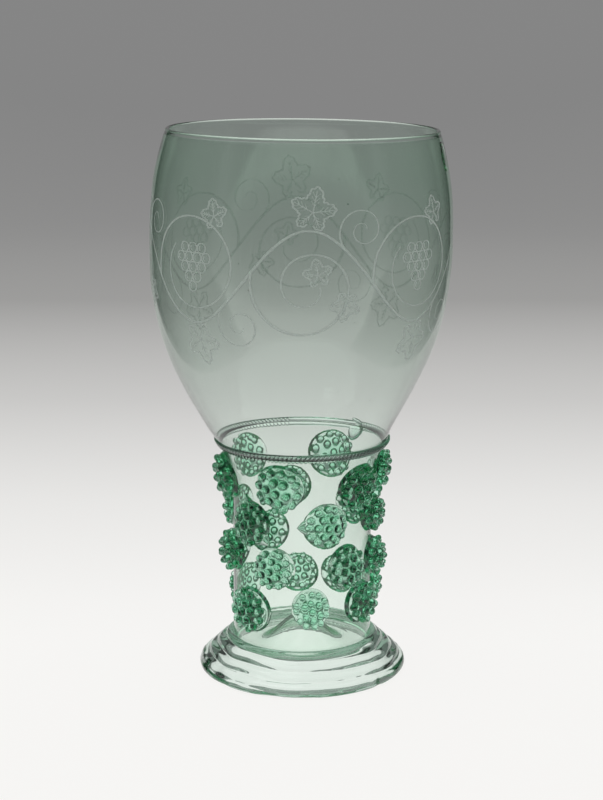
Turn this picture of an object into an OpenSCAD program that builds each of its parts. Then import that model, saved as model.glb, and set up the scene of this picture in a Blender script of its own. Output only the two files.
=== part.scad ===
// Roemer glass: a blown bowl on a hollow stem that is set with raspberry prunts, over a spun foot.
// Millimetres, +Z up, origin on the table below the axis. The front of the glass faces -Y.

/* [Bowl] */
// Height of the lip above the table
total_h = 240; // [225:1:255]
// Outer diameter across the fire-polished lip
rim_d = 117; // [108:0.5:124]
// Thickness of the rounded lip
lip_t = 2.4; // [2.2:0.1:3.2]
// Lean of the wall at the lip, inwards from upright, in degrees
lip_lean = 17; // [8:1:24]
// Greatest outer diameter of the bowl
belly_d = 131.2; // [124:0.2:136]
// Distance from the lip down to the greatest diameter
belly_drop = 52.6; // [46:0.2:60]
// Fullness of the curve at the lip, as a share of the rise from belly to lip
lip_fullness = 0.41; // [0.25:0.01:0.5]
// Fullness of the curve above the belly, as a share of the rise from belly to lip
shoulder_fullness = 0.37; // [0.25:0.01:0.5]
// Fullness of the curve below the belly, as a share of the rise from weld to belly
belly_fullness = 0.49; // [0.35:0.01:0.6]
// Fullness of the curve at the weld, as a share of the rise from weld to belly
weld_fullness = 0.28; // [0.15:0.01:0.4]
// Wall thickness of the bowl and of the stem
wall_t = 1.9; // [1.5:0.1:2.2]

/* [Stem] */
// Outer diameter of the stem's straight part
stem_d = 61.2; // [57:0.2:65]
// Height of the weld between the stem and the bowl
weld_z = 103.5; // [98:0.5:110]
// Outer diameter at the weld
weld_d = 74; // [71:0.5:80]
// Slope of the wall at the weld, outwards from upright, in degrees
weld_slope = 27; // [22:1:32]
// Height of the stem's flat bottom above the table
stem_base_z = 10.3; // [9:0.1:12]
// Radius of the rounded heel
heel_r = 5; // [4:0.1:6.5]
// Thickness of the stem's floor
floor_t = 2.2; // [1.6:0.1:3]
// Diameter of the kick that is pushed up into the floor
kick_d = 36; // [30:0.5:40]
// Height of the kick
kick_h = 12; // [9:0.5:18]
// Radius of the kick's blunt top
kick_top_r = 3; // [2:0.1:5]

/* [Collar] */
// Thickness of the milled thread laid over the weld
collar_t = 4.3; // [3.4:0.1:5]
// Number of milled notches in a full turn
mill_count = 120; // [80:1:140]
// Diameter of the milling wheel's tooth
mill_d = 1.4; // [0.8:0.1:1.6]
// Depth of a notch
mill_depth = 0.6; // [0.3:0.05:0.65]
// Slant of the notches from upright, in degrees
mill_slant = 30; // [5:1:40]
// Where the ends of the thread join, in degrees to the right of the front
join_angle = 137; // [90:1:180]
// Length of the plain stretch beside the join, in degrees
plain_arc = 50; // [20:1:90]
// Diameter of the drop over the join
join_d = 7; // [5:0.1:8]

/* [Prunts] */
// Diameter of a prunt's flange
prunt_d = 20.5; // [18:0.1:21]
// Thickness of the flange
flange_t = 2.5; // [2:0.1:3.2]
// Width of the plain rim round the dome
flange_rim = 1.3; // [0.8:0.1:2]
// Height of the dome over the stem's wall
dome_h = 5.6; // [4.6:0.1:6.6]
// Diameter of one raspberry bump
bump_d = 3.4; // [2.8:0.1:3.6]
// Space between neighbouring bumps
bump_gap = 0.3; // [0.2:0.05:0.6]
// Height of a bump's centre above the dome
bump_rise = 0.7; // [0.4:0.1:1.1]
// Degrees that the stamp turns from one prunt to the next
stamp_turn = 47; // [0:1:60]
// Space left between two prunts that would otherwise meet
prunt_gap = 0.3; // [0.2:0.1:1]
// Space between the top row and the collar
top_row_gap = 1.1; // [0.6:0.1:3]
// Space between the bottom row and the foot
bottom_row_gap = 7.5; // [4:0.1:12]

/* [Foot] */
// Outer diameter of the spun foot
foot_d = 92.8; // [86:0.2:96]
// Thickness of the spun thread
thread_t = 6.3; // [5.6:0.1:7]
// Flattening under the last turn, where the glass stands
foot_flat = 0.6; // [0.3:0.1:1.2]
// Rise of the top turn's centre above the stem's flat bottom
top_turn_rise = 2.7; // [2:0.1:4]
// Depth to which the top turn bites into the line of the stem's wall
top_turn_bite = 2.2; // [1.2:0.1:2.8]
// Greatest distance between turns, as a share of the thread's thickness
turn_pitch = 0.8; // [0.7:0.01:0.9]

/* [Hidden] */
$fn = 64;
curve_steps = 18;
arc_steps = 10;
blown_colour = [0.72, 0.82, 0.76];
worked_colour = [0.30, 0.62, 0.46];

stem_r = stem_d / 2;
weld_r = weld_d / 2;
lip_r = lip_t / 2;
collar_r = collar_t / 2;

// The flare is one arc, upright where it leaves the stem and on the weld's slope where it ends
flare_r = (weld_r - stem_r) / (1 - cos(weld_slope));
flare_z = weld_z - flare_r * sin(weld_slope);

// Turns of the foot lie on a line from the heel of the stem to the table
top_turn = [stem_r + thread_t / 2 - top_turn_bite, stem_base_z + top_turn_rise];
last_turn = [foot_d / 2 - thread_t / 2, thread_t / 2 - foot_flat];
turn_steps = ceil(norm(last_turn - top_turn) / (thread_t * turn_pitch));
foot_top_z = top_turn[1] + thread_t / 2;

// Each prunt: degrees to the right of the front, rise over its even row, share of the full diameter
row_names = ["top", "upper", "lower", "bottom"];
prunt_rows = [
    [[-132, 2.2, 0.88], [-80, 0, 0.95], [-16.5, 1.1, 0.97], [48, -1, 0.96], [96, 0, 0.93],
        [155.5, 1.1, 0.96]],
    [[-114, -1.2, 0.95], [-44, 0.2, 0.95], [20, 1, 0.96], [72, 2.5, 0.9], [131, -2.5, 0.95],
        [190, 3.5, 0.95]],
    [[-150, 1.3, 0.98], [-112, -1.8, 0.88], [-72, 3.5, 0.92], [-23, 0.4, 0.92], [38, 0.2, 0.93],
        [78, 0, 0.88], [161, 1.5, 0.97]],
    [[-177, -1, 0.92], [-124, -2, 0.95], [-45, -1.5, 1], [7, 1.5, 0.88], [55, 0.9, 0.95],
        [110, 0.5, 0.88], [146, 0, 0.9]]
];
last_row = len(prunt_rows) - 1;
top_row_z = weld_z - collar_r - top_row_gap - prunt_d / 2;
bottom_row_z = foot_top_z + bottom_row_gap + prunt_d / 2;

// The dome is part of a sphere that stands on the wall inside the flange's rim
dome_base_r = prunt_d / 2 - flange_rim;
dome_r = (dome_base_r * dome_base_r + dome_h * dome_h) / (2 * dome_h);
bump_orbit = dome_r + bump_rise;
bump_rings = 2;
first_ring_bumps = 6;

function prunt_name(row, i) = str("prunt_", row_names[row], "_", i + 1);

function reversed(points) = [for (i = [len(points) - 1 : -1 : 0]) points[i]];
function after_first(points) = [for (i = [1 : len(points) - 1]) points[i]];

function arc_points(centre, radius, from, to) = [
    for (i = [0 : arc_steps])
        let (a = from + (to - from) * i / arc_steps)
        centre + radius * [cos(a), sin(a)]
];

// A smooth curve from a to d that leaves a towards b and reaches d from c
function curve_points(a, b, c, d) = [
    for (i = [0 : curve_steps])
        let (t = i / curve_steps, u = 1 - t)
        u * u * u * a + 3 * u * u * t * b + 3 * u * t * t * c + t * t * t * d
];

// Side of the bowl's wall that lies inset from the outside, from the weld up to the lip
function bowl_side(inset) =
    let (
        weld_dir = [sin(weld_slope), cos(weld_slope)],
        lip_dir = [-sin(lip_lean), cos(lip_lean)],
        lip_out = [cos(lip_lean), sin(lip_lean)],
        lip_centre = [rim_d / 2 - lip_r, total_h - lip_r],
        start = weld_point(inset),
        belly = [belly_d / 2 - inset, total_h - belly_drop],
        end = lip_centre + (wall_t / 2 - inset) * lip_out,
        lower_rise = belly[1] - start[1],
        upper_rise = end[1] - belly[1]
    )
    concat(
        curve_points(start, start + weld_fullness * lower_rise * weld_dir,
            belly - [0, belly_fullness * lower_rise], belly),
        after_first(curve_points(belly, belly + [0, shoulder_fullness * upper_rise],
            end - lip_fullness * upper_rise * lip_dir, end))
    );

function weld_point(inset) = [weld_r, weld_z] + inset * [-cos(weld_slope), sin(weld_slope)];

// Side of the stem's wall that lies inset from the outside, from the heel up to the weld
function stem_side(inset) = concat(
    arc_points([stem_r - heel_r, stem_base_z + heel_r], heel_r - inset, -90, 0),
    arc_points([stem_r + flare_r, flare_z], flare_r + inset, 180, 180 - weld_slope)
);

// Outer radius and slope of the stem's wall at a height
function wall_slope(z) = z > flare_z ? asin(min(1, (z - flare_z) / flare_r)) : 0;
function wall_r(z) = stem_r + flare_r * (1 - cos(wall_slope(z)));

function row_z(row) = top_row_z + (bottom_row_z - top_row_z) * row / last_row;
function prunt_z(row, i) = row_z(row) + prunt_rows[row][i][1];
function prunt_angle(row, i) = prunt_rows[row][i][0];
function prunt_size(row, i) = prunt_rows[row][i][2];
function prunt_centre(row, i) =
    let (z = prunt_z(row, i), a = prunt_angle(row, i))
    [wall_r(z) * sin(a), -wall_r(z) * cos(a), z];

module bowl() {
    color(blown_colour) rotate_extrude() {
        polygon(concat(bowl_side(0), reversed(bowl_side(wall_t))));
        translate([rim_d / 2 - lip_r, total_h - lip_r]) circle(r = lip_r);
    }
}

module stem() {
    kick_slope = kick_h / (kick_d / 2 - kick_top_r);
    inner_kick_r = kick_d / 2 + floor_t / (kick_slope + 1);
    inner_floor_z = stem_base_z + floor_t;
    color(blown_colour) rotate_extrude() polygon(concat(
        [[0, stem_base_z + kick_h], [kick_top_r, stem_base_z + kick_h], [kick_d / 2, stem_base_z]],
        stem_side(0),
        reversed(stem_side(wall_t)),
        [[inner_kick_r, inner_floor_z], [kick_top_r, inner_floor_z + kick_h], [0, inner_floor_z + kick_h]]
    ));
}

// The blown bowl and stem as one filled solid, grown outwards, which cuts the backs of what is laid on them
module blown_body(grow) {
    outside = concat(stem_side(0), after_first(bowl_side(0)));
    rotate_extrude() polygon(concat(
        [[0, stem_base_z]],
        [for (p = outside) [p[0] + grow, p[1]]],
        [[0, total_h - lip_r]]
    ));
}

module milled_collar() {
    color(worked_colour) difference() {
        union() {
            rotate_extrude() translate([weld_r, weld_z]) circle(r = collar_r);
            rotate([0, 0, join_angle]) translate([0, -weld_r, weld_z - collar_r / 2]) sphere(d = join_d);
        }
        blown_body(0);
        for (i = [1 : mill_count]) {
            angle = join_angle + plain_arc + i * 360 / mill_count;
            if (i * 360 / mill_count < 360 - plain_arc - asin(join_d / weld_d)) mill_notch(angle);
        }
    }
}

module mill_notch(angle) {
    reach = weld_r + collar_r + mill_d / 2 - mill_depth;
    rotate([0, 0, angle]) translate([0, -reach, weld_z]) rotate([0, mill_slant, 0])
        cylinder(h = 2 * collar_t, d = mill_d, center = true);
}

module spun_foot() {
    color(worked_colour) rotate_extrude() difference() {
        for (i = [0 : turn_steps])
            translate(top_turn + (last_turn - top_turn) * i / turn_steps) circle(d = thread_t);
        polygon(concat([[0, stem_base_z]], stem_side(0), [[0, weld_z]]));
        translate([0, -thread_t]) square([foot_d, thread_t]);
    }
}

// Turns a piece modelled along +Z to stand square on the wall at a prunt's place
module at_prunt(row, i) {
    slope = wall_slope(prunt_z(row, i));
    translate(prunt_centre(row, i)) rotate([0, 0, prunt_angle(row, i)]) rotate([90 + slope, 0, 0])
        rotate([0, 0, stamp_turn * (row + i)]) scale(prunt_size(row, i)) children();
}

module raspberry() {
    translate([0, 0, dome_h - dome_r]) {
        sphere(r = dome_r);
        translate([0, 0, bump_orbit]) sphere(d = bump_d);
        for (ring = [1 : bump_rings]) {
            count = first_ring_bumps * ring;
            lean = asin((bump_d + bump_gap) / (2 * bump_orbit * sin(180 / count)));
            for (k = [1 : count])
                rotate([0, lean, 360 * k / count]) translate([0, 0, bump_orbit]) sphere(d = bump_d);
        }
    }
}

// Everything beyond the plane midway between two places, less half the gap
module beyond_midway(here, there) {
    way = there - here;
    size = 2 * prunt_d;
    translate((here + there) / 2)
        rotate([0, acos(way[2] / norm(way)), atan2(way[1], way[0])])
        translate([-size / 2, -size / 2, -prunt_gap / 2]) cube([size, size, size]);
}

module prunt(row, i) {
    here = prunt_centre(row, i);
    color(worked_colour) difference() {
        union() {
            intersection() {
                at_prunt(row, i) cylinder(h = prunt_d, d = prunt_d, center = true);
                blown_body(flange_t);
            }
            at_prunt(row, i) raspberry();
        }
        blown_body(0);
        for (r = [0 : last_row])
            for (k = [0 : len(prunt_rows[r]) - 1]) {
                there = prunt_centre(r, k);
                reach = prunt_d * (prunt_size(row, i) + prunt_size(r, k)) / 2 + prunt_gap;
                if (norm(there - here) > 0 && norm(there - here) < reach) beyond_midway(here, there);
            }
    }
}

bowl();
stem();
milled_collar();
spun_foot();
for (row = [0 : last_row])
    for (i = [0 : len(prunt_rows[row]) - 1])
        prunt(row, i);
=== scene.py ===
# %% [markdown]
# A roemer is a wine glass of green forest glass: an egg-shaped bowl on a wide hollow stem, raspberry
# prunts pressed on round the stem, a milled thread over the weld and a foot wound from one thread of glass.
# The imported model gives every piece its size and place. This lesson dresses each of its nodes as worked
# glass, in metres and in the same frame, so nothing has to be fitted by eye.

# %% Load the frame
import random
from math import asin, atan2, cos, hypot, pi, radians, sin, tau

import bmesh
import bpy
from mathutils import Matrix, Vector, noise


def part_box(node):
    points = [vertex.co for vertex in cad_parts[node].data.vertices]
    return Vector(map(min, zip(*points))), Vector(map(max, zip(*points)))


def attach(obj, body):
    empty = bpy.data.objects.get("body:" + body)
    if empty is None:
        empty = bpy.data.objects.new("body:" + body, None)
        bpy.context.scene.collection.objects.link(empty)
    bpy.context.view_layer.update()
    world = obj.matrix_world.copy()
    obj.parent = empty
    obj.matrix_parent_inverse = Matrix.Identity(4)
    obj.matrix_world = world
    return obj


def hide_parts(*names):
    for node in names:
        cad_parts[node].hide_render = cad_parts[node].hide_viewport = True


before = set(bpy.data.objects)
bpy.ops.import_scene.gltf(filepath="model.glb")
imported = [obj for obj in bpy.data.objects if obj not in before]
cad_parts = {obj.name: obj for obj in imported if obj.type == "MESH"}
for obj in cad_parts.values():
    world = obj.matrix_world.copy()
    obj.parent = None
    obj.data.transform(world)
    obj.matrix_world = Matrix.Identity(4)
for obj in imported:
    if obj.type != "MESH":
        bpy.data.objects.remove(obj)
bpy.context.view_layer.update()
scene = bpy.context.scene

# %% [markdown]
# Glass is all about what stands behind it, so the camera comes first. It looks down on the glass by some
# twelve degrees through a long lens. A long lens keeps the bowl's sides nearly parallel.

# %% Camera
focal_length, sensor_width, farthest = 85.6, 36, 50
camera_place, look_down = (-0.00025, -0.81349, 0.30128), radians(12.49)
lens = bpy.data.cameras.new("camera")
lens.lens, lens.sensor_width, lens.clip_end = focal_length, sensor_width, farthest
camera = bpy.data.objects.new("camera", lens)
camera.location = camera_place
camera.rotation_euler = (pi / 2 - look_down, 0, 0)
scene.collection.objects.link(camera)
scene.camera = camera
scene.view_settings.view_transform = "Standard"
print("camera at", tuple(camera.location))

# %% [markdown]
# Shaders are graphs of small nodes. To write them as sums, this class wraps the end of a wire: plus, minus
# and times put a Math node after it, and node() adds any other kind, its settings first and then its sockets.
# Two kinds come up so often that they get a name: ranged() carries a value from one range to another, and
# held() keeps it between nought and one.

# %% Shader wires
class Wire:
    def __init__(self, tree, socket=None):
        self.tree, self.socket = tree, socket

    def node(self, kind, settings=None, sockets=None, output=0):
        made = self.tree.nodes.new(kind)
        for key, value in (settings or {}).items():
            if key == "stops":
                ramp = made.color_ramp
                while len(ramp.elements) < len(value):
                    ramp.elements.new(0.5)
                for element, (place, colour) in zip(ramp.elements, value):
                    element.position, element.color = place, colour
            else:
                setattr(made, key, value)
        for key, value in (sockets or {}).items():
            if isinstance(value, Wire):
                self.tree.links.new(value.socket, made.inputs[key])
            else:
                made.inputs[key].default_value = value
        return Wire(self.tree, made.outputs[output] if len(made.outputs) else None)

    def maths(self, operation, first, second=0.0):
        return self.node("ShaderNodeMath", {"operation": operation}, {0: first, 1: second})

    def ranged(self, low, high, to_low, to_high):
        return self.node("ShaderNodeMapRange", sockets={"Value": self, 1: low, 2: high, 3: to_low, 4: to_high})

    def held(self):
        return self.node("ShaderNodeClamp", sockets={"Value": self})

    def __add__(self, other):
        return self.maths("ADD", self, other)

    def __radd__(self, other):
        return self.maths("ADD", other, self)

    def __sub__(self, other):
        return self.maths("SUBTRACT", self, other)

    def __rsub__(self, other):
        return self.maths("SUBTRACT", other, self)

    def __mul__(self, other):
        return self.maths("MULTIPLY", self, other)

    def __rmul__(self, other):
        return self.maths("MULTIPLY", other, self)


def shader_start(block):
    block.use_nodes = True
    block.node_tree.nodes.clear()
    return Wire(block.node_tree)


def grey(value):
    return (value, value, value, 1)


print("shader wires ready")

# %% [markdown]
# The glass stands on a light table: white around the foot, falling off to grey behind it. A single plane would
# end in a hard horizon, so the stage is one profile of floor, bend and wall, spun round the axis. It lies a
# hair below the foot, so that no two faces share one place.

# %% Light table
floor_r, bend_r, wall_top, hair = 1.5, 0.4, 1.5, 0.0002
profile = [(r, 0.0) for r in (0.0, 0.3, 0.8, floor_r)]
for a in (radians(d) for d in range(10, 91, 10)):
    profile.append((floor_r + bend_r * sin(a), bend_r * (1 - cos(a))))
profile.append((floor_r + bend_r, wall_top))
bm = bmesh.new()
chain = [bm.verts.new((r, 0, z - hair)) for r, z in profile]
links = [bm.edges.new(pair) for pair in zip(chain, chain[1:])]
bmesh.ops.spin(bm, geom=chain + links, axis=(0, 0, 1), cent=(0, 0, 0), angle=tau, steps=96, use_merge=True)
bmesh.ops.remove_doubles(bm, verts=bm.verts[:], dist=1e-5)
bmesh.ops.recalc_face_normals(bm, faces=bm.faces[:])
bmesh.ops.reverse_faces(bm, faces=bm.faces[:])
for face in bm.faces:
    face.smooth = True
table_mesh = bpy.data.meshes.new("light_table")
bm.to_mesh(table_mesh)
bm.free()
table = bpy.data.objects.new("light_table", table_mesh)
scene.collection.objects.link(table)
print("light table", len(table_mesh.polygons), "faces")

# %% [markdown]
# The table's glow is a band that runs away from the camera and ends at both sides, because clear glass between
# dark sides gets dark outlines, and without them it would hardly show. The band widens behind the glass, and
# also in front of it, where the picture would show its edges. Every point of the table gets one number, its
# reach from the bright middle, and a colour ramp turns that into a grey, a little warm near the glass. Towards
# the camera and beside the band the reach grows faster, so it is dark there.

# %% Glow of the table
bright_ahead, ramp_length, warm_reach, warm_tint = 0.07, 4.0, 1.5, (1, 0.992, 0.975)
soft_edge, hard_edge = 4.0, 60.0
table_glow = bpy.data.materials.new("table_glow")
start = shader_start(table_glow)
where = start.node("ShaderNodeTexCoord", output=3)
x, y, z = [start.node("ShaderNodeSeparateXYZ", sockets={0: where}, output=axis) for axis in "XYZ"]
back = y + bright_ahead
ahead = start.maths("MAXIMUM", back, -4 * back - 1.3)
widened = start.maths("MAXIMUM", 0.5 * back, -2 * back - 0.1)
band = start.maths("MAXIMUM", 0.19 + 0.3 * back, widened)
edge = back.ranged(-0.4, -0.1, soft_edge, hard_edge)
aside = edge * start.maths("MAXIMUM", start.maths("ABSOLUTE", x) - band, 0.0)
reach = start.maths("SQRT", ahead * ahead + aside * aside + z * z)
fall = [(0.1, 0.965), (0.155, 0.947), (0.34, 0.838), (0.617, 0.61), (1.065, 0.352), (1.85, 0.245), (2.1, 0.25),
        (3.0, 0.08), (4.0, 0.04)]
stops = []
for at, level in fall:
    tint = warm_tint if at < warm_reach else (1, 1, 1)
    stops.append((at / ramp_length, tuple(level * part for part in tint) + (1,)))
glow = start.node("ShaderNodeValToRGB", {"stops": stops}, {"Fac": 1 / ramp_length * reach})
print("glow with", len(stops), "stops")

# %% [markdown]
# The camera, reflections and refractions see that glow, and a share of plain diffuse floor in it catches the
# shadow. Matt surfaces, which would be half in the dark here, get an even light from all sides instead. On
# such a table alone the bumps of the prunts stay pale, where real ones have dark cores, probably from the dark
# room around a table. As a stand-in for that room, light that was both let into glass and mirrored finds the
# table dim, though less so close under the foot and far away, and not at all on the camera's side. How dim is
# set by comparing pictures. Light that runs straight through finds the table bright.

# %% What sees the glow
plain_light, glow_share = grey(0.55), 0.9


def light_path(start, *names):
    return [start.node("ShaderNodeLightPath", output=name) for name in names]


def mixed(start, share, first, second):
    return start.node("ShaderNodeMixShader", sockets={0: share, 1: first, 2: second})


def shining(start, colour):
    return start.node("ShaderNodeEmission", sockets={"Color": colour, "Strength": 1.0})


shadowed = start.node("ShaderNodeBsdfDiffuse", sockets={"Color": glow})
bright = mixed(start, glow_share, shadowed, shining(start, glow))
bounced, entered = light_path(start, "Glossy Depth", "Transmission Depth")
inside = (bounced * entered).held()
around = start.maths("SQRT", x * x + y * y)
near = around.ranged(0.4, 0.8, 0.97, 0.2)
beside = around.ranged(0.05, 0.11, 0.48, 1.0)
past_front = back.ranged(-0.2, -0.1, 0.0, 1.0)
lit = mixed(start, past_front * near * beside * inside, bright, shining(start, grey(0.0)))
by_camera, by_mirror, by_glass, by_matt = light_path(
    start, "Is Camera Ray", "Is Glossy Ray", "Is Transmission Ray", "Diffuse Depth")
seen = (by_camera + by_mirror + by_glass - by_matt).held()
by_all = mixed(start, seen, shining(start, plain_light), lit)
start.node("ShaderNodeOutputMaterial", sockets={"Surface": by_all})
table_mesh.materials.append(table_glow)
print("table glows for camera, mirrors and glass")

# %% [markdown]
# Above the table the room is an even grey, the same light that matt surfaces get from the table. One broad soft
# lamp overhead adds faint highlights. Light crosses many walls of glass before it ends, so more bounces are
# allowed than usual: a path that runs out of them ends in black.

# %% Room and lamp
lamp_place, lamp_aim, lamp_width, lamp_watts = Vector((-0.5, -0.4, 1.45)), Vector((0, 0, 0.12)), 1.1, 2
glass_bounces, mirror_bounces = 40, 12
room = bpy.data.worlds.new("grey_room")
scene.world = room
start = shader_start(room)
even = start.node("ShaderNodeBackground", sockets={"Color": plain_light, "Strength": 1.0})
start.node("ShaderNodeOutputWorld", sockets={"Surface": even})

soft = bpy.data.lights.new("soft_lamp", "AREA")
soft.shape, soft.size, soft.energy = "DISK", lamp_width, lamp_watts
lamp = bpy.data.objects.new("soft_lamp", soft)
lamp.location = lamp_place
lamp.rotation_euler = (lamp_aim - lamp_place).to_track_quat("-Z", "Y").to_euler()
scene.collection.objects.link(lamp)
scene.cycles.max_bounces = scene.cycles.transmission_bounces = glass_bounces
scene.cycles.glossy_bounces = mirror_bounces
print("lamp at", tuple(lamp.location))

# %% [markdown]
# Forest glass is green from iron in its sand, and the colour is inside it: the thicker the glass, the deeper
# the green. A tinted surface would make thin and thick glass alike. So the surface is clear and a volume
# takes away light along the way, red most of all. Blown glass keeps fine level streaks from the turning pipe,
# and pressed glass has a slightly wavy, tooled skin. How strongly glass bends light is a value of each finish,
# about 1.5 for most glass and set a little lower for the blown walls. All these values are set by comparing
# pictures.

# %% Glass finishes
wiped_haze, cloud_scale = 0.01, 90.0


def glass(name, loss_per_metre, streaks, ripple, bends):
    material = bpy.data.materials.new(name)
    start = shader_start(material)
    where = start.node("ShaderNodeTexCoord", output=3)
    stretched = start.node("ShaderNodeMapping", sockets={"Vector": where, "Scale": streaks})
    streak = start.node("ShaderNodeTexNoise", sockets={"Vector": stretched, "Scale": 1.0, "Detail": 2.0})
    cloud = start.node("ShaderNodeTexNoise", sockets={"Vector": where, "Scale": cloud_scale, "Detail": 5.0})
    wiped = cloud.ranged(0.45, 0.75, 0.0, wiped_haze)
    skin = start.node("ShaderNodeBump", sockets={"Height": streak, "Strength": 1.0, "Distance": ripple})
    body = start.node("ShaderNodeBsdfPrincipled", sockets={
        "Base Color": grey(1), "Roughness": wiped, "IOR": bends, "Transmission Weight": 1.0, "Normal": skin})
    strongest = max(loss_per_metre)
    clear = tuple(1 - loss / strongest for loss in loss_per_metre) + (1,)
    depth = start.node("ShaderNodeVolumeAbsorption", sockets={"Color": clear, "Density": strongest})
    start.node("ShaderNodeOutputMaterial", sockets={"Surface": body, "Volume": depth})
    return material


blown_glass = glass("blown_forest_glass", (78, 10, 52), (9, 9, 420), 0.00002, 1.45)
spun_glass = glass("spun_forest_glass", (24, 7, 16), (60, 60, 60), 0.00002, 1.5)
pressed_glass = glass("pressed_forest_glass", (106, 20, 56), (120, 120, 120), 0.00001, 1.51)
print("three finishes of forest glass")

# %% [markdown]
# Most of a roemer is round, so its pieces start as an outline that is spun round the axis, as the gaffer's
# tools draw it on the turning pipe. The outline holds both sides of the wall, so the piece is closed and has
# its real thickness. An outline that starts and ends on the axis is left open there.

# %% Turning an outline
def turned(outline, steps):
    bm = bmesh.new()
    ring = [bm.verts.new((r, 0, z)) for r, z in outline]
    pairs = list(zip(ring, ring[1:]))
    if outline[0][0] > 0:
        pairs.append((ring[-1], ring[0]))
    edges = [bm.edges.new(pair) for pair in pairs]
    bmesh.ops.spin(bm, geom=ring + edges, axis=(0, 0, 1), cent=(0, 0, 0), angle=tau, steps=steps,
                   use_merge=True)
    bmesh.ops.remove_doubles(bm, verts=bm.verts[:], dist=1e-6)
    bmesh.ops.recalc_face_normals(bm, faces=bm.faces[:])
    return bm


def flowing(a, b, c, d, steps=28):
    """Points of a smooth curve from a to d that leaves a towards b and reaches d from c."""
    points = []
    for i in range(steps + 1):
        t = i / steps
        shares = ((1 - t) ** 3, 3 * (1 - t) ** 2 * t, 3 * (1 - t) * t * t, t ** 3)
        points.append(sum((s * Vector(p) for s, p in zip(shares, (a, b, c, d))), Vector((0, 0))))
    return points


def shown(bm, name, material, slot, *nodes):
    for face in bm.faces:
        face.smooth = True
    mesh = bpy.data.meshes.new(name)
    bm.to_mesh(mesh)
    bm.free()
    mesh.materials.append(material)
    piece = bpy.data.objects.new(name, mesh)
    scene.collection.objects.link(piece)
    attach(piece, "root")
    if nodes:
        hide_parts(*nodes)
    print(name, len(mesh.polygons), "faces")
    return piece


print("turning ready")

# %% [markdown]
# The bowl is blown, so its outline is two free curves: out from the weld to the belly, and in again to the
# lip. The lip was softened in the fire, which rolls it into a bead a little thicker than the wall. Each curve
# is drawn twice, for the outside and the inside of the wall.

# %% Outline of the bowl
bowl_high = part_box("bowl")[1]
rim_r, lip_r, wall_t, lean_room = 0.0585, 0.0009, 0.0019, 0.0005
belly_r, belly_z, bowl_top = bowl_high[0] - lean_room, 0.1874, bowl_high[2]
weld_r, weld_z, weld_slope, lip_lean = 0.037, 0.1035, radians(27), radians(17)
weld_pull, under_belly_pull, over_belly_pull, lip_pull = 0.28, 0.49, 0.37, 0.41
lip_centre = Vector((rim_r - lip_r, bowl_top - lip_r))


def along(angle, out, up):
    """A step in an outline, out from a wall that leans by angle and up along it."""
    return Vector((out * cos(angle) + up * sin(angle), up * cos(angle) - out * sin(angle)))


def bowl_side(inset):
    low = Vector((weld_r, weld_z)) + along(weld_slope, -inset, 0)
    belly = Vector((belly_r - inset, belly_z))
    high = lip_centre + along(-lip_lean, lip_r - inset, 0)
    lower, upper = belly.y - low.y, high.y - belly.y
    side = flowing(low, low + along(weld_slope, 0, weld_pull * lower),
                   belly - Vector((0, under_belly_pull * lower)), belly)
    side += flowing(belly, belly + Vector((0, over_belly_pull * upper)),
                    high - along(-lip_lean, 0, lip_pull * upper), high)[1:]
    return side


outer = bowl_side(0)
print("bowl outline of", len(outer), "points")

# %% [markdown]
# The wall is thinnest where the bowl was blown out most, between weld and belly, so the green is deeper near
# the lip. No blown bowl is true: this one leans a little as it rises, and its lip dips to the right. Wall and
# lean are written as a few stops, a height and a value, with eased steps between them. The thickness is a
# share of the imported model's wall. The lower edge is tucked into the stem's, under the collar.

# %% Bowl
thickness = [(0.104, 0.34), (0.116, 0.3), (0.15, 0.46), (0.187, 0.65), (0.226, 0.9), (0.24, 0.8)]
lean = [(0.1, 0.0), (0.1045, -0.0004), (0.112, -0.0012), (0.126, -0.0014), (0.17, -0.0009), (0.19, -0.0004),
        (0.215, -0.0001), (0.25, 0.0005)]
lip_dip, tuck_in, tuck_down = 0.011, 0.0003, 0.0005


def between(stops, at):
    """The value at a place on a line through stops, eased from stop to stop."""
    for (a, first), (b, last) in zip(stops, stops[1:]):
        if a <= at <= b:
            return first + (last - first) * (1 - cos(pi * (at - a) / (b - a))) / 2
    return stops[0][1] if at < stops[0][0] else stops[-1][1]


def leant(co):
    """Where a point of a true bowl lies on this one."""
    rise = max(0.0, (co.z - belly_z) / (bowl_top - belly_z))
    return Vector((co.x + between(lean, co.z), co.y, co.z - lip_dip * rise * (co.x + rim_r)))


inner = [p + (q - p) * between(thickness, p.y) for p, q in zip(outer, bowl_side(wall_t))]
bead = [lip_centre + lip_r * Vector((cos(a), sin(a))) for a in (radians(d) for d in range(-20, 211, 15))]
tuck = [inner[0] + along(weld_slope, tuck_in, -tuck_down), outer[0] + along(weld_slope, -tuck_in, -tuck_down)]
bm = turned(tuck + outer[:-1] + bead + inner[-2::-1], 224)
for vert in bm.verts:
    vert.co = leant(vert.co)
shown(bm, "blown_bowl", blown_glass, "blown_glass", "bowl")

# %% [markdown]
# The stem is a blown cylinder that flares to meet the bowl. Its floor is pushed up into a kick, which stands
# inside like a soft hump and keeps the rough pontil mark off the table. It is one turned outline as well,
# with a heel that rolls over into the floor. Its wall, too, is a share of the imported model's.

# %% Stem
stem_r, stem_base, heel_r, floor_t = 0.0306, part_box("stem")[0][2], 0.0032, 0.0014
kick_r, kick_h, kick_wall, stem_thin = 0.0215, 0.012, 0.001, 0.5
kick_steps, straight_steps, flare_steps = 30, 8, 14
flare_r = (weld_r - stem_r) / (1 - cos(weld_slope))
flare_z = weld_z - flare_r * sin(weld_slope)


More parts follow.
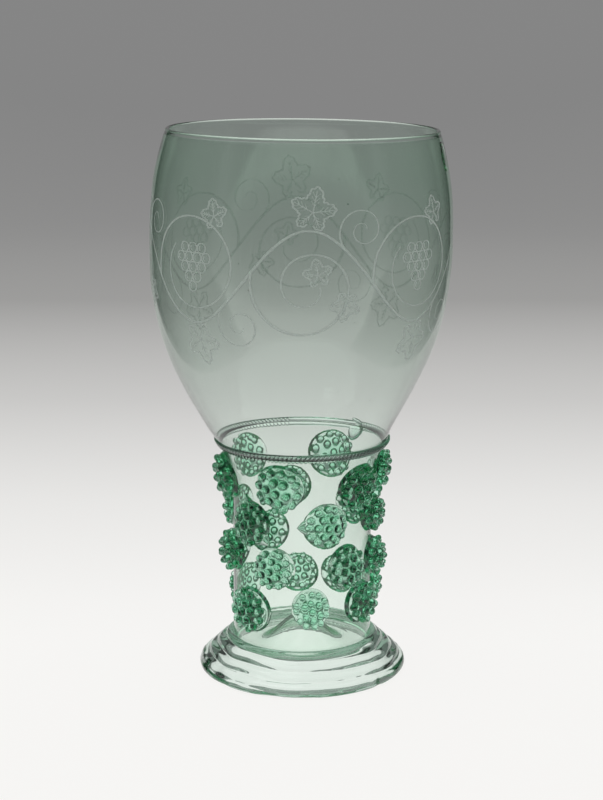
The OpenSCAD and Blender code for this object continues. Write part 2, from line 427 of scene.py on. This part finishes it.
def stem_side(inset):
    heel = [(stem_r - heel_r + (heel_r - inset) * sin(a), stem_base + heel_r - (heel_r - inset) * cos(a))
            for a in (radians(d) for d in range(0, 91, 9))]
    rise = (flare_z - heel[-1][1]) / straight_steps
    straight = [(stem_r - inset, heel[-1][1] + rise * i) for i in range(1, straight_steps)]
    flare = [(stem_r + flare_r - (flare_r + inset) * cos(a), flare_z + (flare_r + inset) * sin(a))
             for a in (weld_slope * i / flare_steps for i in range(flare_steps + 1))]
    return [Vector(p) for p in heel + straight + flare]


def kick_side(height, reach):
    shares = [i / kick_steps for i in range(kick_steps + 1)]
    return [Vector((reach * share, height + kick_h * (1 - share * share) ** 3)) for share in shares]


under = kick_side(stem_base, kick_r)
above = kick_side(stem_base + floor_t, kick_r + kick_wall)
bm = turned(under + stem_side(0) + stem_side(stem_thin * wall_t)[::-1] + above[::-1], 192)
shown(bm, "hollow_stem", blown_glass, "blown_glass", "stem")

# %% [markdown]
# A thread of hot glass is trailed round the weld, and a small toothed wheel is run along it. That leaves
# slanted nicks, like the lay of a rope. Cutting each nick with a boolean would be slow and rough, so the
# thread is turned finely and its own points are pressed in, in a slanting wave. The wheel was lifted for a
# stretch at the back. On the real glass thread and wall are fused. Here the thread stands a film off the wall,
# so that no two closed pieces of glass overlap.

# %% Milled thread
film = 0.00004
collar_r, collar_proud, fullness, top_heavy, thread_sides = 0.00215, 0.0012, 0.6, 0.2, 24
nicks, nick_depth, nick_slant, nick_steps, run_in = 128, 0.34, 4.5, 8, 0.05
join, plain_arc, plain_thin, swelling = radians(137), radians(50), 0.12, 0.06


def share(value, low, high):
    return max(0.0, min(1.0, (value - low) / (high - low)))


def wander(angle, rate, level):
    """Smooth noise round the axis that meets itself after one turn."""
    return noise.noise(Vector((rate * sin(angle), rate * cos(angle), level)))


def milled(angle):
    """One where the wheel ran, none along the plain stretch after the join."""
    past = (angle - join) % tau
    return min(share(past - plain_arc, 0, run_in), share(tau - past, 0, run_in))


rope = []
for i in range(thread_sides):
    a = tau * i / thread_sides
    out = collar_proud * cos(a) ** fullness * (1 + top_heavy * sin(a)) if cos(a) > 0 else film
    rope.append(Vector((weld_r, weld_z)) + along(weld_slope, out, collar_r * sin(a)))
thread = turned(rope, nicks * nick_steps)
for vert in thread.verts:
    angle, r = atan2(vert.co.x, -vert.co.y), hypot(vert.co.x, vert.co.y)
    step = Vector((r - weld_r, vert.co.z - weld_z))
    if step.dot(along(weld_slope, 1, 0)) > 0:
        side = step.dot(along(weld_slope, 0, 1)) / collar_r
        press = milled(angle) * (0.5 + 0.5 * cos(nicks * angle - nick_slant * side)) ** 2
        swell = swelling * wander(angle, 9, 0.3)
        step *= 1 - nick_depth * press + swell - (plain_thin if milled(angle) < 0.5 else 0)
        vert.co = ((weld_r + step.x) * sin(angle), -(weld_r + step.x) * cos(angle), weld_z + step.y)
print("thread with", nicks, "nicks to the turn")

# %% [markdown]
# The thread's two ends meet in a sagging drop at the back, with a cut-off tip above it. Both are soft lumps,
# spheres that are stretched, tapered and laid on the wall. They are joined to the thread with one boolean,
# since glass that is fused has no wall inside.

# %% Collar with its drop
lump_flat, lump_lift = 0.0001, 0.0002


def placed(bm, name):
    mesh = bpy.data.meshes.new(name)
    bm.to_mesh(mesh)
    bm.free()
    rough = bpy.data.objects.new(name, mesh)
    scene.collection.objects.link(rough)
    return rough


def worked(rough):
    """The mesh of an object with its modifiers, as a bmesh. The object itself goes."""
    mesh = bpy.data.meshes.new_from_object(rough.evaluated_get(bpy.context.evaluated_depsgraph_get()))
    bm = bmesh.new()
    bm.from_mesh(mesh)
    for used in (rough.data, mesh):
        bpy.data.meshes.remove(used)
    return bm


def blob(wide, tall, proud, across, up, tilt, taper):
    """A soft lump on the thread. Across runs on round the weld, up along the wall."""
    bm = bmesh.new()
    for vert in bmesh.ops.create_icosphere(bm, subdivisions=4, radius=1.0)["verts"]:
        u, v = wide * vert.co.x * (1 + taper * vert.co.y), tall * vert.co.y
        u, v = across + u * cos(tilt) - v * sin(tilt), up + u * sin(tilt) + v * cos(tilt)
        out = (proud if vert.co.z > 0 else lump_flat) * vert.co.z
        wall = Vector((weld_r, weld_z)) + along(weld_slope, lump_lift + out, v)
        turn = join + u / weld_r
        vert.co = (wall.x * sin(turn), -wall.x * cos(turn), wall.y)
    return placed(bm, "lump")


rough_thread = placed(thread, "thread")
drop = blob(0.0041, 0.0045, 0.0021, 0.0, -0.0032, radians(10), 0.25)
cut_tip = blob(0.0036, 0.0009, 0.0013, 0.0006, 0.0021, radians(16), 0.0)
for lump in (drop, cut_tip):
    fuse = rough_thread.modifiers.new("fuse", "BOOLEAN")
    fuse.operation, fuse.object, fuse.solver = "UNION", lump, "EXACT"
bm = worked(rough_thread)
for lump in (drop, cut_tip):
    bpy.data.meshes.remove(lump.data)
shown(bm, "milled_thread", pressed_glass, "worked_glass", "milled_collar")

# %% [markdown]
# The foot is spun: a thread of soft glass is wound round a cone, turn against turn, until it is wide enough
# to stand on. The turns fuse, so the outline is one sloping band with two rounded ends, as thick as the thread.

# %% Outline of the foot
foot_r, thread_t, turns_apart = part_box("spun_foot")[1][0], 0.0063, 0.0052
heel_hold, top_rise, sole_sink, slope_steps, end_steps = 0.0022, 0.0027, 0.0006, 80, 16
half = thread_t / 2
top_turn = Vector((stem_r + half - heel_hold, stem_base + top_rise))
last_turn = Vector((foot_r - half, half - sole_sink))
slope = (last_turn - top_turn).normalized()
square = Vector((-slope.y, slope.x))
run = (last_turn - top_turn).length


def rounded_end(centre, first, last):
    angles = [radians(first + (last - first) * i / end_steps) for i in range(end_steps + 1)]
    return [centre + half * (cos(a) * slope + sin(a) * square) for a in angles]


upper = [top_turn + half * square + slope * run * i / slope_steps for i in range(1, slope_steps)]
lower = [p - 2 * half * square for p in upper[::-1]]
foot_ring = rounded_end(top_turn, 270, 90) + upper + rounded_end(last_turn, 90, -90) + lower
print("foot outline of", len(foot_ring), "points")

# %% [markdown]
# What stays of the turns is a low spiral ridge. A wave along the slope, shifted by one turn in every round,
# makes exactly that: it meets itself at the seam. Noise that closes round the axis lets the ridge drift and
# its grooves deepen here and there. The underside lay on the smooth cone, and only its outer edge sagged a
# little. Round the heel of the stem the foot keeps its film of clearance.

# %% Spun foot
groove, groove_varies, drifting, skin_varies = 0.0008, 0.0005, 0.25, 0.0001
sole_gap, edge_varies = 0.0009, 0.0003
bm = turned(foot_ring, 288)
for vert in bm.verts:
    angle, r = atan2(vert.co.x, -vert.co.y), hypot(vert.co.x, vert.co.y)
    step = Vector((r, vert.co.z)) - top_turn
    down, off = step.dot(slope), step.dot(square)
    drift = drifting * wander(angle, 2.2, 1.7)
    valley = abs(cos(pi * (down / turns_apart + drift - angle / tau))) - 1 if off > 0 else 0.0
    deep = groove + groove_varies * wander(angle, 2.2, 180 * down)
    uneven = noise.noise(Vector((7 * vert.co.x / foot_r, 7 * vert.co.y / foot_r, 40 * vert.co.z)))
    fade = share(abs(off), 0.001, 0.0025) * share(down, -0.001, 0.001)
    step += square * (1 if off > 0 else -1) * fade * (deep * valley + skin_varies * (uneven - 1))
    out, up = top_turn + step
    if down > 0.8 * run and off < 0:
        up += sole_gap * max(0.0, wander(angle, 4.5, 8))
    out += edge_varies * (wander(angle, 3, 4) - 1) * down / run
    if up > stem_base:
        below = max(0.0, 1 - (up - stem_base) / heel_r)
        out = max(out, stem_r - heel_r + heel_r * (1 - below * below) ** 0.5 + film)
    vert.co = (out * sin(angle), -out * cos(angle), max(0.0, up))
shown(bm, "spun_foot_thread", spun_glass, "worked_glass", "spun_foot")

# %% [markdown]
# A raspberry prunt is a gob of hot glass dropped on the wall and pressed with a stamp of round hollows. It has
# a flange where the gob was squeezed out, a dome and three rings of bumps. Joined shells would leave walls
# inside the glass, so the rough shapes are melted into one skin with a voxel remesh and then smoothed. Every
# gob came out a little different: the stamp was turned each time, some were struck off centre, and some keep a
# tail where the hot gob was pulled from its rod.

# %% One raspberry
bump_rings = [(1, 0, 0.172), (6, 30, 0.168), (12, 59, 0.163)]
flange_t, flange_edge, dome_share, dome_h, flat_h = 0.0017, 0.0009, 0.86, 0.0056, 0.0001
bump_lift, ring_spread, lean_varies, turn_varies, size_varies = 0.0004, 0.02, 2, 0.12, 0.06
point_narrow, point_tall = 0.45, 1.1
tail_root, tail_wide, tail_high, tail_narrow = 0.005, 0.0062, 0.0026, 0.75
voxel, calm_share, calm_rounds = 0.0003, 0.5, 2


def bump(bm, size, pointed, square, seat, push):
    stand = square.to_track_quat("Z", "Y").to_matrix().to_4x4()
    for vert in bmesh.ops.create_icosphere(bm, subdivisions=3, radius=size)["verts"]:
        if vert.co.z > 0:
            vert.co = vert.co * (1 - pointed * point_narrow * vert.co.z / size)
            vert.co.z *= 1 + point_tall * pointed
        vert.co = stand @ vert.co + seat + push + bump_lift * square


def tail(bm, flange_r, way, length):
    for vert in bmesh.ops.create_icosphere(bm, subdivisions=4, radius=1.0)["verts"]:
        part = 0.5 + 0.5 * vert.co.x
        place, narrow = flange_r - tail_root + (tail_root + length) * part, 1 - tail_narrow * part
        across = tail_wide * vert.co.y * narrow
        up = (tail_high if vert.co.z > 0 else flat_h) * vert.co.z * narrow
        vert.co = (place * cos(way) - across * sin(way), place * sin(way) + across * cos(way), up)


def raspberry(flange_r, turn, chance, pointed, tails, push, shape):
    bm = bmesh.new()
    dome_r, push = dome_share * flange_r, Vector((push[0], push[1], 0))
    bmesh.ops.create_cone(bm, cap_ends=True, segments=64, radius1=flange_r, radius2=flange_r - flange_edge,
                          depth=flange_t, matrix=Matrix.Translation((0, 0, flange_t / 2)))
    for vert in bmesh.ops.create_icosphere(bm, subdivisions=5, radius=1.0)["verts"]:
        high = (dome_h if vert.co.z > 0 else flat_h) * vert.co.z
        vert.co = push + Vector((dome_r * vert.co.x, dome_r * vert.co.y, high))
    for ring, (count, lean_degrees, bump_share) in enumerate(bump_rings):
        for k in range(count):
            lean = radians(lean_degrees + lean_varies * chance.uniform(-1, 1))
            around = turn + tau * k / count + turn_varies * chance.uniform(-1, 1)
            size = flange_r * bump_share * chance.uniform(1 - size_varies, 1 + size_varies)
            out = Vector((sin(lean) * cos(around), sin(lean) * sin(around), cos(lean)))
            seat = Vector((dome_r * out.x, dome_r * out.y, dome_h * out.z)) * (1.0 + ring_spread * ring)
            square = Vector((out.x / dome_r, out.y / dome_r, out.z / dome_h)).normalized()
            bump(bm, size, pointed, square, seat, push)
    for way, length in tails:
        tail(bm, flange_r, radians(way), length)
    bmesh.ops.scale(bm, vec=(shape[0], shape[1], 1), verts=bm.verts[:])
    gob = placed(bm, "gob")
    melt = gob.modifiers.new("melt", "REMESH")
    melt.mode, melt.voxel_size = "VOXEL", voxel
    calm = gob.modifiers.new("calm", "SMOOTH")
    calm.factor, calm.iterations = calm_share, calm_rounds
    return worked(gob)


print("raspberry of", sum(count for count, lean_degrees, bump_share in bump_rings), "bumps ready")

# %% [markdown]
# Each prunt's place is read from its node: the middle of its points gives the direction and height, and the
# point furthest from that line gives the flange's reach. The flat prunt is then bent onto the wall: every
# point is moved along the wall's own square direction by as much as the wall curves away below it. It keeps
# the same film off the wall as the collar. Sunk a little into the wall it looks nearly the same, since the dark
# cores of the bumps come from the dimmed table and not from the film.

# %% Prunts round the stem
sharp = {"prunt_lower_3": 0.7, "prunt_lower_6": 0.6, "prunt_upper_4": 0.15, "prunt_top_5": 0.1}
tails = {"prunt_upper_3": [(183, 0.0028)], "prunt_upper_2": [(110, 0.003), (-42, 0.003)],
         "prunt_top_4": [(205, 0.0012)]}
pushed = {"prunt_top_3": (-0.0006, -0.0006), "prunt_upper_3": (-0.0009, 0.0), "prunt_bottom_3": (-0.0012, 0.0),
          "prunt_bottom_5": (0.001, 0.0)}
shapes = {"prunt_bottom_4": (0.93, 1.04), "prunt_lower_5": (0.95, 1.05), "prunt_upper_2": (0.95, 1.03)}


def wall_slope(z):
    return asin(min(1.0, (z - flare_z) / flare_r)) if z > flare_z else 0.0


def wall_r(z):
    return stem_r + flare_r * (1 - cos(wall_slope(z)))


prunts = []
for name in sorted(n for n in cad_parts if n.startswith("prunt_")):
    points = [v.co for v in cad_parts[name].data.vertices]
    middle = sum(points, Vector()) / len(points)
    angle, z = atan2(middle.x, -middle.y), middle.z
    tilt = wall_slope(z)
    around = Vector((cos(angle), sin(angle), 0))
    radial = Vector((sin(angle), -cos(angle), 0))
    square = cos(tilt) * radial - sin(tilt) * Vector((0, 0, 1))
    climb = sin(tilt) * radial + cos(tilt) * Vector((0, 0, 1))
    seat = wall_r(z) * radial + Vector((0, 0, z))
    reach = max(hypot((p - seat).dot(around), (p - seat).dot(climb)) for p in points)
    chance = random.Random(name)
    bm = raspberry(reach, chance.uniform(0, tau), chance, sharp.get(name, 0), tails.get(name, []),
                   pushed.get(name, (0.0, 0.0)), shapes.get(name, (1, 1)))
    for vert in bm.verts:
        flat = seat + vert.co.x * around + vert.co.y * climb
        away = (wall_r(flat.z) - hypot(flat.x, flat.y)) * cos(tilt)
        vert.co = flat + (max(vert.co.z, film) + away) * square
    prunts.append(shown(bm, name.replace("prunt", "raspberry"), pressed_glass, "worked_glass", name))
print(len(prunts), "raspberries")

# %% [markdown]
# The bowl is engraved with a diamond point: a running vine with tendrils, leaves and grapes, in matt lines. It
# is drawn flat first. A stroke swells where the point bites deeper, on its way down, and thins out towards its
# end. Each kind of line has a width at its start and one at its end.

# %% Strokes of the diamond point
bough, shoot, tendril = (0.000575, 0.000575), (0.00055, 0.00025), (0.00035, 0.00015)
leaf_edge, vein, fork, berry = (0.000375, 0.000375), (0.0003, 0.000125), (0.0002, 0.0001), (0.0003, 0.0003)
light_bite, deeper_bite = 0.7, 0.45
strokes = []


def stroke(points, widths):
    line, last = [], len(points) - 1
    for i, point in enumerate(points):
        way = points[min(i + 1, last)] - points[max(i - 1, 0)]
        bite = light_bite + deeper_bite * abs(way.y) / max(way.length, 1e-9)
        line.append((point, bite * (widths[0] + (widths[1] - widths[0]) * i / last)))
    strokes.append(line)


def polar(r, a):
    return Vector((r * cos(a), r * sin(a)))


def leaf(root, way, size):
    middle = root + polar(0.34 * size, way)
    outline = []
    for i in range(97):
        a = radians(-168 + 336 * i / 96)
        lobes = (0.76 + 0.17 * cos(5 * a) + 0.035 * cos(25 * a)) * (0.86 + 0.14 * cos(a))
        outline.append(middle + polar(0.5 * size * lobes, way + a))
    stroke(outline, leaf_edge)
    for spread in (0, 72, -72, 144, -144):
        a, length = way + radians(spread), 0.5 * size * (0.8 if abs(spread) < 100 else 0.6)
        stroke([middle + polar(length * i / 6, a) for i in range(7)], vein)
        for part in (0.3, 0.5, 0.7):
            branch = middle + polar(part * length, a)
            for turn in (0.7, -0.7):
                stroke([branch, branch + polar(0.28 * length, a + turn)], fork)


def grapes(top, size):
    for row, count in enumerate((3, 4, 3, 2, 1)):
        for k in range(count):
            middle = top + Vector(((k - (count - 1) / 2) * size, -0.86 * size * row))
            stroke([middle + polar(0.46 * size, tau * i / 16) for i in range(17)], berry)
            stroke([middle + polar(0.24 * size, 2.2 + 2.2 * i / 6) for i in range(7)], vein)


def coil(root, centre, turns, shrink, widths, steps=90):
    spoke = root - centre
    first = atan2(spoke.y, spoke.x)
    points = [centre + polar(spoke.length * (1 - shrink * (i / steps) ** 0.9), first + tau * turns * i / steps)
              for i in range(steps + 1)]
    stroke(points, widths)
    return points


print("leaf, grapes and coil ready")

# %% [markdown]
# The bough is a wave that closes round the bowl after four swings. From every half of a swing a shoot coils
# inwards, and holds by turns a bunch of grapes or a leaf at its tip. Leaves sit on the bough and on the shoots,
# and a small tendril fills the gap before the next half.

# %% Vine drawn flat
vine_z, vine_r, waves, swing, bough_steps = 0.184, 0.0635, 4, 0.020, 480
shoot_at, crest_at, tendril_at, sunk = 0.02, 0.25, 0.40, 0.003
big_leaf, side_leaf, tip_leaf, grape = 0.022, 0.015, 0.014, 0.0046
period = tau * vine_r / waves


def wave(s):
    return Vector((s, swing * sin(tau * s / period)))


stroke([wave(period * waves * i / bough_steps) for i in range(bough_steps + 1)], bough)
for n in range(2 * waves):
    flip = 1 if n % 2 == 0 else -1
    root, crest, base = [wave(period * (n / 2 + at)) for at in (shoot_at, crest_at, tendril_at)]
    centre = Vector((period * (n / 2 + crest_at), -sunk * flip))
    if n % 2:
        curl = coil(root, centre, -1.15, 0.42, shoot)
        grapes(centre + Vector((0, 0.008)), grape)
    else:
        curl = coil(root, centre, 1.55, 0.80, shoot)
        leaf(curl[-1], radians(100), tip_leaf)
    leaf(crest, flip * radians(78), big_leaf)
    leaf(curl[30], radians(-100 * flip), side_leaf)
    coil(base, base + Vector((0.007, 0.008 * flip)), -1.6 * flip, 0.85, tendril)
print(len(strokes), "strokes")

# %% [markdown]
# A curve object turns a stroke into a strip: each point carries its own radius, so one bevel depth gives all
# the widths. After the curve has become a mesh, the flat drawing's length becomes an angle and its height
# becomes a height on the bowl, and the lean of the bowl is laid on top. The lines are flattened to almost
# nothing, so they lie in the surface and only their frosted finish shows.

# %% Vine wrapped on the bowl
unit_w, flattened, vine_turn = 0.001, 0.06, radians(20)
drawing = bpy.data.curves.new("vine", "CURVE")
drawing.dimensions, drawing.bevel_depth, drawing.bevel_resolution = "3D", unit_w, 1
for line in strokes:
    spline = drawing.splines.new("POLY")
    spline.points.add(len(line) - 1)
    for point, (place, width) in zip(spline.points, line):
        point.co, point.radius = (place.x, place.y, 0, 1), width / unit_w
sketch = bpy.data.objects.new("vine", drawing)
scene.collection.objects.link(sketch)
flat_mesh = bpy.data.meshes.new_from_object(sketch.evaluated_get(bpy.context.evaluated_depsgraph_get()))
bpy.data.objects.remove(sketch)
vine_lines = bmesh.new()
vine_lines.from_mesh(flat_mesh)
bpy.data.meshes.remove(flat_mesh)


def bowl_r(z):
    """Outer radius of the true bowl at a height."""
    for p, q in zip(outer, outer[1:]):
        if p.y <= z <= q.y:
            return p.x + (q.x - p.x) * (z - p.y) / (q.y - p.y)
    return belly_r


for vert in vine_lines.verts:
    angle, z = vert.co.x / vine_r - vine_turn, vine_z + vert.co.y
    r = bowl_r(z) + flattened * vert.co.z
    vert.co = leant(Vector((r * sin(angle), -r * cos(angle), z)))
bmesh.ops.recalc_face_normals(vine_lines, faces=vine_lines.faces[:])
print("vine wrapped at a height of", vine_z)

# %% [markdown]
# A scratched line is frosted glass: pale, matt and half see-through, and grainy because the point skips. So the
# finish is a rough skin that lets some light through, with grit in its alpha. The lines at the back are made
# fainter than those in front, as painted light: seen through the bowl they catch little light and would show
# dark, and faded they don't crowd the drawing.

# %% Diamond point finish
grit_scale, see_through, scratch_bends, faded_back = 2600.0, 0.35, 1.2, 0.4
matt = bpy.data.materials.new("diamond_point_matt")
start = shader_start(matt)
where = start.node("ShaderNodeTexCoord", output=3)
depth = start.node("ShaderNodeSeparateXYZ", sockets={0: where}, output="Y")
grit = start.node("ShaderNodeTexNoise", sockets={"Vector": where, "Scale": grit_scale, "Detail": 3.0})
# Painted light: the lines are fainter towards the back, where seen through the bowl they would show dark.
painted_back_fade = depth.ranged(-0.03, 0.02, 1.0, faded_back)
frost = painted_back_fade * grit.ranged(0.3, 0.7, 0.42, 0.72)
rough = grit.ranged(0.3, 0.7, 0.55, 0.85)
body = start.node("ShaderNodeBsdfPrincipled", sockets={
    "Base Color": (0.80, 0.88, 0.83, 1), "Roughness": rough, "Alpha": frost, "Transmission Weight": see_through,
    "IOR": scratch_bends})
start.node("ShaderNodeOutputMaterial", sockets={"Surface": body})
shown(vine_lines, "engraved_vine", matt, "blown_glass")

# %% [markdown]
# Forest glass was never quite clear of air. Small seeds are drawn out level in the walls of bowl and stem, and
# one long tear sits under the lip on the right. A bubble is a shell with its faces turned inwards, because the
# glass is outside it.

# %% Seeds and a tear
smallest, largest, seed_fineness, tear_fineness = 0.0001, 0.00022, 2, 4
bm = bmesh.new()
chance = random.Random(7)


def bubble(angle, z, wide, tall, deep, fineness):
    for vert in bmesh.ops.create_icosphere(bm, subdivisions=fineness, radius=1.0)["verts"]:
        high = z + tall * vert.co.z
        middle = wall_t / 2 * (between(thickness, high) if high > weld_z else stem_thin)
        r = (bowl_r(high) if high > weld_z else wall_r(high)) - middle + deep * vert.co.y
        turn = angle + wide * vert.co.x / r
        place = Vector((r * sin(turn), -r * cos(turn), high))
        vert.co = leant(place) if high > weld_z else place


def seed(low, high, least_drawn, most_drawn):
    size = chance.uniform(smallest, largest)
    angle, z = chance.uniform(0, tau), chance.uniform(low, high)
    bubble(angle, z, size * chance.uniform(least_drawn, most_drawn), size, size, seed_fineness)


for k in range(18):
    seed(0.108, 0.232, 1.2, 2.6)
for k in range(4):
    seed(0.02, 0.1, 1, 2)
bubble(radians(77), 0.2295, 0.0048, 0.0062, 0.0006, tear_fineness)
bmesh.ops.recalc_face_normals(bm, faces=bm.faces[:])
bmesh.ops.reverse_faces(bm, faces=bm.faces[:])
shown(bm, "seeds_in_the_glass", blown_glass, "blown_glass")
